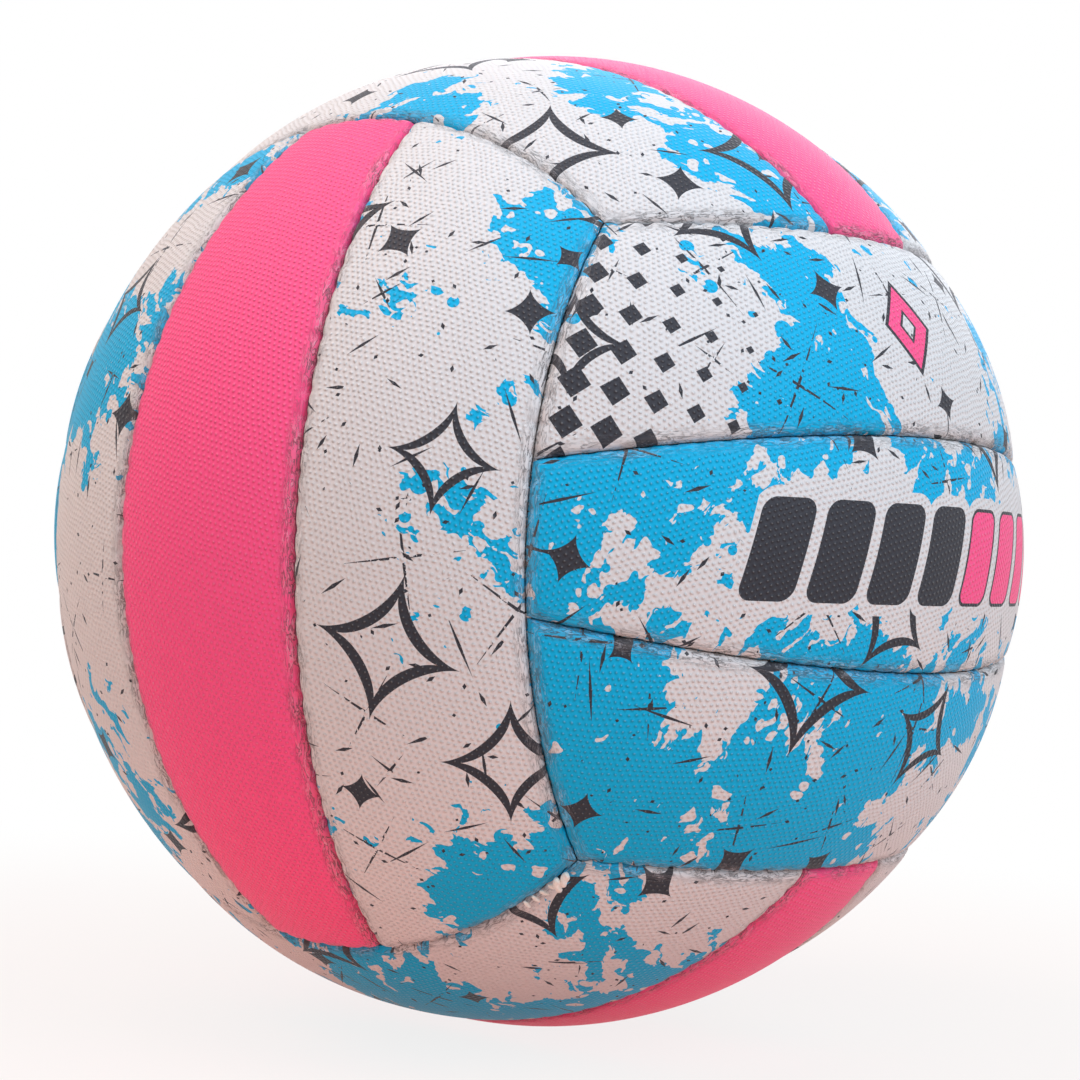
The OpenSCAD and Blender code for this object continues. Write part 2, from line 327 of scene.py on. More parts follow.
def panel_mesh(name, index, side, sizes):
    """One rubber panel: a crowned grid whose edge loop is carried down as the turned edge."""
    layout = Layout(sizes)
    outer = side > 0
    width = layout.radius * ((layout.side - layout.strip) if outer else 2 * layout.strip)
    across = edge_spacing(width, SHOULDER_LINES, OPEN_SPACING)
    along = edge_spacing(2 * layout.half_length, SHOULDER_LINES, OPEN_SPACING)
    directions = strip_directions(layout, outer, sizes.groove, across, along).reshape(-1, 3)
    beside, run = seam_places(layout, outer, directions)
    radii = panel_radius(layout, sizes, outer, directions, beside, run)
    rows, columns = len(across), len(along)
    cells = np.arange(rows * columns).reshape(rows, columns)
    quads = [cells[:-1, :-1], cells[1:, :-1], cells[1:, 1:], cells[:-1, 1:]]
    quads = np.stack(quads, -1).reshape(-1, 4)
    if FACES[index] == "back" and side == 0:
        quads = valve_opening(quads, directions, radii, sizes.valve_hole)

    loop = perimeter(rows, columns)
    depths = (sizes.turned_edge - SHOULDER_DROP) * np.linspace(0, 1, EDGE_RINGS + 1)[1:]
    rings = directions[loop] * (radii[loop] - depths[:, None])[..., None]
    points = np.concatenate([directions * radii[:, None], rings.reshape(-1, 3)])
    count = len(loop)
    tower = rows * columns + np.arange(len(depths) * count).reshape(-1, count)
    tower = np.concatenate([loop[None], tower])
    beyond = np.roll(tower, -1, axis=1)
    walls = np.stack([tower[:-1], tower[1:], beyond[1:], beyond[:-1]], -1).reshape(-1, 4)

    middle = layout.outer if outer else 0.0
    places = np.column_stack([
        layout.radius * np.arcsin(directions @ heading(math.pi / 2 + middle)),
        layout.radius * np.arctan2(directions[:, 2], directions @ heading(middle)),
    ])
    places = np.concatenate([places, np.tile(places[loop], (len(depths), 1))]) / MM
    nearest = beside.min(0)
    lower = np.tile(nearest[loop], len(depths)) - np.repeat(depths, count)
    nearest = np.concatenate([nearest, lower]) / MM

    used = np.unique(np.concatenate([quads.ravel(), walls.ravel()]))
    renumber = np.full(len(points), -1)
    renumber[used] = np.arange(len(used))
    faces = renumber[np.concatenate([quads, walls])]
    turn = face_turn(index, side)
    return shell(name, points[used] @ turn.T, faces), places[used], nearest[used]


def valve_opening(quads, directions, radii, hole):
    """The grid's quads less those over the valve, with the cut's edge drawn to a circle.

    A grid point inside the hole moves straight out from the face's X axis until its
    distance from the axis is the hole's radius. The directions are changed in place.
    """
    reach = directions[:, 1:] * radii[:, None]
    spread = np.hypot(*reach.T)
    inside = (spread < hole) & (directions[:, 0] > 0)
    pushed = reach[inside] * (hole / np.maximum(spread[inside], 1e-9))[:, None]
    ahead = np.sqrt(radii[inside] ** 2 - hole**2)
    directions[inside] = np.column_stack([ahead, pushed]) / radii[inside, None]
    return quads[~inside[quads].all(1)]


def shell(name, points, faces):
    """A smooth mesh object whose faces are turned to point away from the ball's centre."""
    corners = points[faces]
    normal = np.cross(corners[:, 2] - corners[:, 0], corners[:, 3] - corners[:, 1])
    if (normal * corners.mean(1)).sum() < 0:
        faces = faces[:, ::-1]
    mesh = bpy.data.meshes.new(name)
    mesh.from_pydata(points, [], faces.tolist())
    mesh.polygons.foreach_set("use_smooth", np.ones(len(faces), bool))
    mesh.update()
    obj = bpy.data.objects.new(name, mesh)
    bpy.context.scene.collection.objects.link(obj)
    return obj


def put_uv(mesh, name, places):
    """Stores a place for each vertex as a UV map."""
    corner = np.empty(len(mesh.loops), int)
    mesh.loops.foreach_get("vertex_index", corner)
    mesh.uv_layers.new(name=name).uv.foreach_set("vector", places[corner].astype(np.float32).ravel())


def put_attribute(mesh, name, values):
    """Stores a number for each vertex."""
    mesh.attributes.new(name, "FLOAT", "POINT").data.foreach_set("value", values.astype(np.float32))


# Materials

WHITE_LIGHT = (1.0, 1.0, 1.0)
EASED = {"interpolation_type": "SMOOTHSTEP"}
# The middle of a noise's colour, taken away so that it pushes a place both ways
NOISE_MIDDLE = (0.5, 0.5, 0.5)


def add(tree, kind, *sources, named=None, **settings):
    """Adds a node, makes its settings, and links or fills its inputs in order or by name.

    A kind in capitals is an operation of the Math node, and another kind may end in a dot
    and its operation, or what it mixes. A colour gets its alpha here.
    """
    if kind.isupper():
        kind = "Math." + kind
    kind, _, operation = kind.partition(".")
    node = tree.nodes.new("ShaderNode" + kind)
    if operation:
        setattr(node, "data_type" if kind == "Mix" else "operation", operation)
    for key, value in settings.items():
        setattr(node, key, value)
    inputs = list(zip([s for s in node.inputs if s.enabled], sources))
    inputs += [(node.inputs[key], value) for key, value in (named or {}).items()]
    for socket, source in inputs:
        if isinstance(source, bpy.types.Node):
            source = next(s for s in source.outputs if s.enabled)
        if isinstance(source, bpy.types.NodeSocket):
            tree.links.new(source, socket)
        else:
            socket.default_value = (*source, 1.0) if socket.type == "RGBA" else source
    return node


def new_material(name):
    """An empty node material, with its tree."""
    material = bpy.data.materials.new(name)
    material.use_nodes = True
    material.node_tree.nodes.clear()
    return material, material.node_tree


def mottled(tree, noise, low, high, most, colour, code):
    """A colour that a noise, between two of its levels, takes towards another colour."""
    share = add(tree, "MapRange", noise, low, high, 0.0, most)
    return add(tree, "Mix.RGBA", share, colour, linear(code))


def surface(tree, height, depth, strength, named):
    """Ends a material: a bump, whose height of one stands for a depth, and the shader."""
    bump = add(tree, "Bump", named={"Height": height, "Distance": depth, "Strength": strength})
    shader = add(tree, "BsdfPrincipled", named={"Normal": bump, **named})
    add(tree, "OutputMaterial", shader)


def plane_noise(grain, detail, roughness=0.5):
    """Settings of a plane noise whose largest grain has a size in millimetres."""
    inputs = {"Scale": 1 / grain, "Detail": detail, "Roughness": roughness}
    return {"noise_dimensions": "2D", "named": inputs}


# Millimetres that the pimples' rows wander, and the length over which they do
ROW_DRIFT, ROW_GRAIN = 1.1, 5.0
# Millimetres from a seam between which the pimples rise from flat to full height
GRIP_START, GRIP_FULL = 1.4, 3.4


def grip(tree, sizes, near):
    """The moulded grip: small round pimples on a lattice of equal triangles.

    Three cosine waves, 60 degrees apart, add up to a peak at every lattice point, and a
    power makes the peaks narrow. A slow noise keeps the rows from being quite straight,
    and the pimples are pressed flat where the rubber turns into a groove.
    """
    place = add(tree, "UVMap", uv_map="grain")
    drift = add(tree, "TexNoise", place, **plane_noise(ROW_GRAIN, 1.0))
    drift = add(tree, "VectorMath.SUBTRACT", drift.outputs["Color"], NOISE_MIDDLE)
    place = add(tree, "VectorMath.MULTIPLY_ADD", drift, (ROW_DRIFT, ROW_DRIFT, ROW_DRIFT), place)
    wave = 4 * math.pi * MM / (math.sqrt(3) * sizes.grip_pitch)
    total = 0.0
    for angle in (15, 75, 135):
        turn = math.radians(angle)
        run = (wave * math.cos(turn), wave * math.sin(turn), 0)
        phase = add(tree, "VectorMath.DOT_PRODUCT", place, run)
        total = add(tree, "ADD", add(tree, "COSINE", phase.outputs["Value"]), total)
    # The three waves' total runs from -1.5 to 3
    peak = add(tree, "MapRange", total, -1.5, 3.0, 0.0, 1.0)
    peak = add(tree, "POWER", peak, 2.2)
    pressed = add(tree, "MapRange", near, GRIP_START, GRIP_FULL, 0.1, 1.0, **EASED)
    return add(tree, "MULTIPLY", peak, pressed)


# Level of the noise where a crack runs and half the crack's width, then the same for a lip
CREASE_LEVELS = ((0.5, 0.036), (0.58, 0.028))
# Millimetres from a seam between which the creases fade out
CREASE_FULL, CREASE_END = 1.0, 3.6


def creases(tree, near):
    """Fine creases and cracks beside the seams, where the rubber is folded over.

    Noise that runs fast with the distance from the seam and slowly along it draws lines
    that follow the seam, where it passes one level. At a second level, beside the cracks,
    lie their raised lips, which are rubbed bare. Both fade out within a few millimetres.
    """
    place = add(tree, "UVMap", uv_map="grain")
    # Slow along the seam, and about six times faster away from it
    slow = add(tree, "VectorMath.MULTIPLY", place, (0.17, 0.17, 0.0))
    fast = add(tree, "CombineXYZ", 0.0, 0.0, add(tree, "MULTIPLY", near, 0.95))
    noise_3d = add(tree, "TexNoise", add(tree, "VectorMath.ADD", slow, fast), named={
        "Scale": 2.1, "Detail": 3.0, "Roughness": 0.6, "Distortion": 0.8})
    lines = []
    for level, width in CREASE_LEVELS:
        offset = add(tree, "ABSOLUTE", add(tree, "SUBTRACT", noise_3d, level))
        lines.append(add(tree, "MapRange", offset, 0.3 * width, width, 1.0, 0.0))
    # Wear comes in spells of about a centimetre, with fainter creases between them
    spell = add(tree, "TexNoise", place, **plane_noise(11.0, 3.0))
    spell = add(tree, "MapRange", spell, 0.36, 0.56, 0.35, 1.0)
    fade = add(tree, "MapRange", near, CREASE_FULL, CREASE_END, 1.0, 0.0, **EASED)
    fade = add(tree, "MULTIPLY", fade, spell)
    crack, lip = (add(tree, "MULTIPLY", line, fade) for line in lines)
    return crack, lip, fade


def scattered(tree, place, spacing, seed, randomness=0.9):
    """Motifs strewn over the print: the place inside each motif's own turned frame, in
    millimetres, and two random numbers that belong to the motif. Each seed moves the
    pattern far away, so that no two are alike."""
    moved = add(tree, "VectorMath.ADD", place, (seed * 71.3, seed * 37.9, 0.0))
    cell = add(tree, "TexVoronoi", moved, voronoi_dimensions="2D", named={
        "Scale": 1 / spacing, "Randomness": randomness})
    local = add(tree, "VectorMath.SUBTRACT", moved, cell.outputs["Position"])
    chance = add(tree, "SeparateColor", cell.outputs["Color"])
    angle = add(tree, "MULTIPLY", chance.outputs[0], 2 * math.pi)
    turned = add(tree, "VectorRotate", local, rotation_type="Z_AXIS", named={"Angle": angle})
    inside = add(tree, "SeparateXYZ", turned)
    return inside.outputs[0], inside.outputs[1], chance.outputs[1], chance.outputs[2]


def drops(tree, place, spacing, seed, largest, share):
    """Round drops of many sizes, of which a share is kept: squared distance below size."""
    x, y, size, chance = scattered(tree, place, spacing, seed)
    away = add(tree, "ADD", add(tree, "MULTIPLY", x, x), add(tree, "MULTIPLY", y, y))
    radius = add(tree, "MULTIPLY", add(tree, "MULTIPLY", size, size), largest**2)
    drop = add(tree, "LESS_THAN", away, radius)
    return add(tree, "MULTIPLY", drop, add(tree, "LESS_THAN", chance, share))


# Paint lies where the splash's three noises add up to more than this. Their middles add
# up to 0.82.
PAINT_LEVEL = 0.86
# Length and width of a dry streak in millimetres, and its slant
STREAK_LENGTH, STREAK_WIDTH = 26, 3.2
STREAK_SLANT = math.radians(38)


def splash(tree, place, cover):
    """Brushed and thrown paint: ragged patches with curled edges, slanted dry streaks,
    and drops of each colour beside the patches' edges. Each grain is in millimetres."""
    curl = add(tree, "TexNoise", place, **plane_noise(7.0, 2.0))
    curl = add(tree, "VectorMath.SUBTRACT", curl.outputs["Color"], NOISE_MIDDLE)
    curled = add(tree, "VectorMath.MULTIPLY_ADD", curl, (6.0, 6.0, 0.0), place)
    patch = add(tree, "TexNoise", place, **plane_noise(46.0, 1.5))
    rag = add(tree, "TexNoise", curled, **plane_noise(8.0, 3.5, 0.55))
    slanted = add(tree, "Mapping", curled, named={
        "Rotation": (0, 0, STREAK_SLANT), "Scale": (1 / STREAK_LENGTH, 1 / STREAK_WIDTH, 1.0)})
    streak = add(tree, "TexNoise", slanted, **plane_noise(1.0, 3.0))
    edge = add(tree, "ADD", add(tree, "MULTIPLY", rag, 0.36), add(tree, "MULTIPLY", streak, 0.28))
    depth = add(tree, "ADD", add(tree, "ADD", patch, edge), cover)
    paint = add(tree, "MapRange", depth, PAINT_LEVEL, PAINT_LEVEL + 0.003, 0.0, 1.0)
    outside = add(tree, "MapRange", depth, PAINT_LEVEL - 0.1, PAINT_LEVEL, 0.0, 0.5)
    thrown = drops(tree, place, 5.0, 3, 2.0, outside)
    paint = add(tree, "MAXIMUM", paint, thrown)
    within = add(tree, "MapRange", depth, PAINT_LEVEL, 1.0, 0.55, 0.06)
    missed = drops(tree, curled, 4.4, 5, 1.7, within)
    return add(tree, "SUBTRACT", paint, missed, use_clamp=True)


# Spacing, seed, longest half length, widest half width, share kept, crossed or not
SCRATCHES = (
    (27.0, 11, 17.0, 0.34, 0.8, True),
    (15.0, 17, 7.5, 0.34, 0.5, False),
    (8.5, 13, 3.2, 0.42, 0.42, False),
    (5.0, 23, 0.8, 0.42, 0.3, False),
)


def scratches(tree, place):
    """Charcoal scratches: needles that taper to both ends, some crossed, and flecks.

    A needle is where the distance from its line is below a width that falls steadily to
    nothing at its tips. Noise breaks the long ones into dashes.
    """
    broken = add(tree, "TexNoise", place, **plane_noise(2.6, 3.0))
    broken = add(tree, "GREATER_THAN", broken, 0.47)
    marks = 0.0
    for spacing, seed, longest, widest, odds, crossed in SCRATCHES:
        x, y, size, chance = scattered(tree, place, spacing, seed)
        kept = add(tree, "LESS_THAN", chance, odds)
        if crossed:
            kept = add(tree, "MULTIPLY", kept, broken)
        reach = add(tree, "MULTIPLY", size, longest)
        for along, beside in ((x, y), (y, x))[: 1 + crossed]:
            share = add(tree, "DIVIDE", add(tree, "ABSOLUTE", along), reach)
            width = add(tree, "MapRange", share, 0.0, 1.0, widest, 0.0)
            needle = add(tree, "LESS_THAN", add(tree, "ABSOLUTE", beside), width)
            marks = add(tree, "MAXIMUM", add(tree, "MULTIPLY", needle, kept), marks)
    return marks


# Spacing, seed, radius, hollow share of the radius, share kept
SPARKLES = ((60.0, 31, 17.0, 0.7, 0.72), (31.0, 41, 5.5, 0.0, 0.5))
SPARKLE_POWER = 0.66


def sparkles(tree, place):
    """Four-pointed sparkles, large ones in outline and small ones filled.

    The size of a point's sparkle is (|x|^p + |y|^p)^(1/p) with p below 1, which draws
    hollow sides between four points.
    """
    marks = 0.0
    for spacing, seed, radius, hollow, odds in SPARKLES:
        x, y, size, chance = scattered(tree, place, spacing, seed, 0.6)
        high = add(tree, "POWER", add(tree, "ABSOLUTE", x), SPARKLE_POWER)
        wide = add(tree, "POWER", add(tree, "ABSOLUTE", y), SPARKLE_POWER)
        out = add(tree, "POWER", add(tree, "ADD", high, wide), 1 / SPARKLE_POWER)
        full = add(tree, "MapRange", size, 0.0, 1.0, 0.65 * radius, radius)
        share = add(tree, "DIVIDE", out, full)
        ring = add(tree, "GREATER_THAN", share, hollow)
        ring = add(tree, "MULTIPLY", add(tree, "LESS_THAN", share, 1.0), ring)
        kept = add(tree, "LESS_THAN", chance, odds)
        marks = add(tree, "MAXIMUM", add(tree, "MULTIPLY", ring, kept), marks)
    return marks


def rounded_box(tree, x, y, half_x, half_y, corner):
    """Distance outside a box with rounded corners: the length of the part of (|x|, |y|)
    that lies outside the box's core, less the corner's radius."""
    lengths = []
    for value, half in ((x, half_x), (y, half_y)):
        beyond = add(tree, "SUBTRACT", add(tree, "ABSOLUTE", value), half - corner)
        beyond = add(tree, "MAXIMUM", beyond, 0.0)
        lengths.append(add(tree, "MULTIPLY", beyond, beyond))
    return add(tree, "SUBTRACT", add(tree, "SQRT", add(tree, "ADD", *lengths)), corner)


# Millimetres from one bar to the next, half a bar's width and height, its corners and
# white rim, and its lean
BAR_PITCH = 15.0
BAR_HALF_WIDTH, BAR_HALF_HEIGHT = 0.41 * BAR_PITCH, 10.2
BAR_CORNER, BAR_RIM = 3.0, 2.3
BAR_LEAN = 0.28


def slanted_bars(tree, colours, base):
    """A row of slanted round-cornered bars edged in white: charcoal, then pink.

    The place along the strip, leaned over and taken modulo the pitch, repeats one bar.
    Four bars lie on either side of the middle.
    """
    place = add(tree, "SeparateXYZ", add(tree, "UVMap", uv_map="grain"))
    up, along = place.outputs[0], place.outputs[1]
    leaned = add(tree, "MULTIPLY_ADD", up, BAR_LEAN, along)
    local = add(tree, "FLOORED_MODULO", leaned, BAR_PITCH)
    local = add(tree, "SUBTRACT", local, BAR_PITCH / 2)
    bar = rounded_box(tree, local, up, BAR_HALF_WIDTH, BAR_HALF_HEIGHT, BAR_CORNER)
    row = add(tree, "LESS_THAN", add(tree, "ABSOLUTE", leaned), 4 * BAR_PITCH)
    rim = add(tree, "MULTIPLY", add(tree, "LESS_THAN", bar, BAR_RIM), row)
    face = add(tree, "MULTIPLY", add(tree, "LESS_THAN", bar, 0.0), row)
    pink = add(tree, "LESS_THAN", leaned, 0.0)
    pink = add(tree, "MULTIPLY", pink, add(tree, "LESS_THAN", bar, -0.7))
    paint = add(tree, "Mix.RGBA", pink, colours.ink, colours.pink)
    base = add(tree, "Mix.RGBA", rim, base, colours.white)
    return add(tree, "Mix.RGBA", face, base, paint)


# Millimetres from one charcoal diamond to the next, and half the largest one's width
DIAMOND_PITCH, LARGEST_DIAMOND = 8.2, 3.4
# Half the width and height of the pink diamond, and its place along the strip
PINK_HALF_WIDTH, PINK_HALF_HEIGHT, PINK_PLACE = 11.0, 8.0, 8.0


def diamonds(tree, colours, base):
    """Charcoal diamonds that shrink along the strip, and one pink diamond edged in charcoal.

    A diamond is where |x| / a + |y| / b is below 1. An attribute is 1 on the panels that
    have them.
    """
    shown = add(tree, "Attribute", attribute_name="diamonds").outputs["Fac"]
    place = add(tree, "UVMap", uv_map="grain")
    parts = add(tree, "SeparateXYZ", place)
    turned = add(tree, "VectorRotate", place, rotation_type="Z_AXIS", named={"Angle": 0.5})
    turned = add(tree, "SeparateXYZ", turned)
    spread = []
    for value in turned.outputs[:2]:
        inside = add(tree, "FLOORED_MODULO", value, DIAMOND_PITCH)
        inside = add(tree, "SUBTRACT", inside, DIAMOND_PITCH / 2)
        spread.append(add(tree, "ABSOLUTE", inside))
    size = add(tree, "MapRange", parts.outputs[1], 40.0, 88.0, 0.0, LARGEST_DIAMOND)
    size = add(tree, "MULTIPLY", size, shown)
    graded = add(tree, "LESS_THAN", add(tree, "ADD", *spread), size)
    base = add(tree, "Mix.RGBA", graded, base, colours.ink)
    wide = add(tree, "DIVIDE", add(tree, "ABSOLUTE", parts.outputs[0]), PINK_HALF_WIDTH)
    centred = add(tree, "SUBTRACT", parts.outputs[1], PINK_PLACE)
    high = add(tree, "DIVIDE", add(tree, "ABSOLUTE", centred), PINK_HALF_HEIGHT)
    out = add(tree, "ADD", wide, high)
    out = add(tree, "DIVIDE", out, add(tree, "MAXIMUM", shown, 0.001))
    bands = []
    for inner, outer in ((0.36, 0.86), (0.26, 1.0)):
        band = add(tree, "LESS_THAN", out, outer)
        bands.append(add(tree, "MULTIPLY", band, add(tree, "GREATER_THAN", out, inner)))
    core, ring = bands
    paint = add(tree, "Mix.RGBA", core, colours.ink, colours.pink)
    return add(tree, "Mix.RGBA", ring, base, paint)


def moulded_rubber(name, base_colour, colours, sizes, motif=None):
    """Synthetic rubber moulded with a pimpled grip: satin, slightly worn beside the seams.

    It has a soft broad gloss that breaks into a spark on each pimple. The pimples' tops are
    painted a little paler, a painted highlight. A motif is the function that draws the last
    layer of a print.
    """
    material, tree = new_material(name)
    near = add(tree, "Attribute", attribute_name="seam_distance").outputs["Fac"]
    local = add(tree, "UVMap", uv_map="grain")
    pimple = grip(tree, sizes, near)
    crack, lip, fade = creases(tree, near)
    colour = base_colour
    if motif:
        place = add(tree, "UVMap", uv_map="print")
        cover = add(tree, "Attribute", attribute_name="print_cover").outputs["Fac"]
        paint = splash(tree, place, cover)
        colour = add(tree, "Mix.RGBA", paint, colour, colours.blue)
        marks = add(tree, "MAXIMUM", scratches(tree, place), sparkles(tree, place))
        colour = add(tree, "Mix.RGBA", marks, colour, colours.ink)
        colour = motif(tree, colours, colour)
    # Beside a seam all colour is rubbed a little thin, the lips most, and the cracks are painted
    # darker, a painted shade
    thinned = add(tree, "MapRange", fade, 0.5, 1.0, 0.0, 0.1)
    rubbed = add(tree, "MAXIMUM", add(tree, "MULTIPLY", lip, 0.55), thinned)
    colour = add(tree, "Mix.RGBA", rubbed, colour, colours.worn)
    # The cracks are painted darker, a painted shade in them
    crack_shade_share = add(tree, "MULTIPLY", crack, 0.75)
    colour = add(tree, "Mix.RGBA", crack_shade_share, colour, colours.crack_shade)
    # The pimples' tops are painted paler, towards white: a painted highlight
    painted_highlight = add(tree, "MapRange", pimple, 0.55, 1.0, 0.0, 0.11)
    colour = add(tree, "Mix.RGBA", painted_highlight, colour, WHITE_LIGHT)
    # Heights in millimetres: pimples, cracks, a matt grain all over and folds by the seam
    height = add(tree, "MULTIPLY", pimple, sizes.grip_height / MM)
    height = add(tree, "MULTIPLY_ADD", crack, -0.16, height)
    grain = add(tree, "TexNoise", local, **plane_noise(0.3, 3.0))
    height = add(tree, "MULTIPLY_ADD", grain, 0.02, height)
    folds = add(tree, "TexNoise", local, **plane_noise(1.6, 5.0, 0.65))
    height = add(tree, "MULTIPLY_ADD", add(tree, "MULTIPLY", folds, fade), 0.15, height)
    gloss = add(tree, "MapRange", pimple, 0.3, 0.9, 0.48, 0.34)
    surface(tree, height, MM, 1.0, {
        "Base Color": colour, "Roughness": gloss, "IOR": 1.5, "Specular IOR Level": 0.16})
    return material


def waxed_thread(colours):
    """Waxed polyester thread, laid from two plies: a slanted ridge and a soft sheen."""
    material, tree = new_material("waxed_polyester_thread")
    place = add(tree, "TexCoord").outputs["Object"]
    ply = add(tree, "TexWave", place, wave_type="BANDS", bands_direction="DIAGONAL",
              named={"Scale": 260.0, "Distortion": 1.5, "Detail": 2.0, "Detail Scale": 3.0})
    fibre = add(tree, "TexNoise", place, named={"Scale": 2600.0, "Detail": 3.0})
    tone = mottled(tree, fibre, 0.3, 0.7, 0.35, colours.thread, "#BFB6A6")
    surface(tree, ply, 0.1 * MM, 0.8, {
        "Base Color": tone, "Roughness": 0.55, "Sheen Weight": 0.25})
    return material


def laminated_cloth(colours):
    """Polyester and cotton cloth bonded in layers: a dull plain weave with thicker slubs."""
    material, tree = new_material("laminated_polycotton_cloth")
    place = add(tree, "TexCoord").outputs["Object"]
    parts = add(tree, "SeparateXYZ", place)
    thread_spacing = 0.5 * MM
    weave = 1.0
    for part in parts.outputs:
        phase = add(tree, "MULTIPLY", part, 2 * math.pi / thread_spacing)
        weave = add(tree, "MULTIPLY", add(tree, "SINE", phase), weave)
    slub = add(tree, "TexNoise", place, named={"Scale": 700.0, "Detail": 4.0})
    tone = mottled(tree, slub, 0.35, 0.7, 0.5, colours.cloth, "#C9BEA4")
    surface(tree, weave, 0.08 * MM, 0.7, {
        "Base Color": tone, "Roughness": 0.85, "Sheen Weight": 0.3})
    return material


def dipped_latex(colours):
    """Natural latex, dipped on a former: amber, slightly translucent, with faint runs."""
    material, tree = new_material("dipped_natural_latex")
    place = add(tree, "TexCoord").outputs["Object"]
    cloud = add(tree, "TexNoise", place, named={"Scale": 30.0, "Detail": 4.0})
    tone = mottled(tree, cloud, 0.3, 0.7, 0.6, colours.latex, "#B99A63")
    runs = add(tree, "Mapping", place, named={"Scale": (90.0, 90.0, 12.0)})
    runs = add(tree, "TexNoise", runs, named={"Detail": 2.0})
    surface(tree, runs, 0.15 * MM, 0.5, {
        "Base Color": tone, "Roughness": 0.38, "Subsurface Weight": 0.15,
        "Subsurface Scale": 2 * MM})
    return material


def moulded_butyl(colours):
    """Butyl rubber, pressed in a smooth mould: black, with a dull bloom and fine grain."""
    material, tree = new_material("moulded_butyl_rubber")
    place = add(tree, "TexCoord").outputs["Object"]
    bloom = add(tree, "TexNoise", place, named={"Scale": 420.0, "Detail": 5.0})
    tone = mottled(tree, bloom, 0.4, 0.75, 0.35, colours.butyl, "#4A4A4E")
    gloss = add(tree, "MapRange", bloom, 0.3, 0.7, 0.45, 0.65)
    grain = add(tree, "TexNoise", place, named={"Scale": 3500.0, "Detail": 3.0})
    surface(tree, grain, 0.03 * MM, 0.6, {"Base Color": tone, "Roughness": gloss})
    return material


# Operators

# How much more than the splash's noise the paint covers, by finish and strip: at the
# strip's middle, at its top end and at its bottom end. The others have no addition.
COVER = {
    ("printed_rubber", "middle"): (0.03, 0.1, 0.02),
    ("white_rubber", "lower"): (-0.01, -0.06, 0.17),
    ("white_rubber", "upper"): (-0.05, 0.06, 0.03),
}
# Distance from a strip's middle to its ends, in millimetres
COVER_REACH = 90


def print_cover(slot, word, heights):
    """The cover along a strip: a straight blend from its middle's number to its ends'."""
    middle, top, bottom = COVER.get((slot, word), (0.0, 0.0, 0.0))
    ends = np.where(heights > 0, top, bottom)
    return middle + (ends - middle) * np.minimum(np.abs(heights / COVER_REACH), 1)


class NETBALL_OT_panels(bpy.types.Operator):
    """Makes the eighteen rubber panels, which stand for the CAD covers"""

    bl_idname = "netball.panels"
    bl_label = "Panels"

    def execute(self, context):
        sizes, colours = context.scene.netball_sizes, context.scene.netball_colours
        finishes = {}
        for slot, word, base, motif in (
            ("white_rubber", "splash_print", colours.white, diamonds),
            ("pink_rubber", "pink", colours.pink, None),
            ("printed_rubber", "bar_print", colours.white, slanted_bars),
        ):
            finishes[slot] = moulded_rubber("moulded_rubber_" + word, base, colours, sizes, motif)
        rng = np.random.default_rng(18)
        for index, face in enumerate(FACES):
            for side, word in enumerate(SIDES[index % 3]):
                node = f"{face}_panel_{word}"
                slot = "white_rubber" if side else ("printed_rubber" if index % 3 == 1 else "pink_rubber")
                obj, places, nearest = panel_mesh(f"{face}_skin_{word}", index, side, sizes)
                # Each panel's print is turned and moved, as if cut from its own sheet
                angle = rng.uniform(0, 2 * math.pi)
                turn = np.array(Matrix.Rotation(angle, 2))
                put_uv(obj.data, "grain", places)
                put_uv(obj.data, "print", places @ turn.T + rng.uniform(100, 900, 2))
                put_attribute(obj.data, "seam_distance", nearest)
                put_attribute(obj.data, "print_cover", print_cover(slot, word, places[:, 1]))
                put_attribute(obj.data, "diamonds", np.full(len(nearest), float(word == "upper")))
                obj.data.materials.append(finishes[slot])
                wall = obj.modifiers.new("skin", "SOLIDIFY")
                wall.thickness, wall.offset = sizes.skin, -1
                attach(obj, BODY)
                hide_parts(node)
        return {"FINISHED"}


def strand(start, end, radius, plies, twist, rounds=14, steps=26):
    """Points and faces of a short length of plied thread, closed at both ends.

    Round a straight line the radius is a half ellipse along the length, times one plus a
    ripple that turns once round for each twist.
    """
    turns = np.linspace(0, 2 * math.pi, rounds, endpoint=False)
    s, a = np.meshgrid(np.linspace(0, 1, steps), turns, indexing="ij")
    swell = np.sqrt(np.clip(1 - (2 * s - 1) ** 2, 0, 1)) ** 0.6
    thick = radius * swell * (1 + 0.13 * np.cos(plies * a + 2 * math.pi * twist * s))
    line = end - start
    ahead = line / np.linalg.norm(line)
    up = start + end
    up = up - (up @ ahead) * ahead
    up = up / np.linalg.norm(up)
    across = np.cross(ahead, up)
    outward = np.cos(a)[..., None] * up + np.sin(a)[..., None] * across
    points = start + s[..., None] * line + thick[..., None] * outward
    rings = np.arange(steps * rounds).reshape(steps, rounds)
    beyond = np.roll(rings, -1, axis=1)
    faces = np.stack([rings[:-1], rings[1:], beyond[1:], beyond[:-1]], -1).reshape(-1, 4)
    return points.reshape(-1, 3), faces


# Distance of each closing stitch from the corner, along the seam
STITCH_PLACES = np.array([5.0, 7.4, 9.8, 12.2, 14.6]) * MM
# Lengths of thread in millimetres, as place along the seam, lean in degrees, half length
# and radius in thread thicknesses. The first stitch carries the knot's two loops.
KNOT_LOOPS = ((-1.0, -38, 1.9, 0.85), (0.9, -62, 1.9, 0.85))
STITCH_HALF, STITCH_RADIUS = 1.1, 0.42


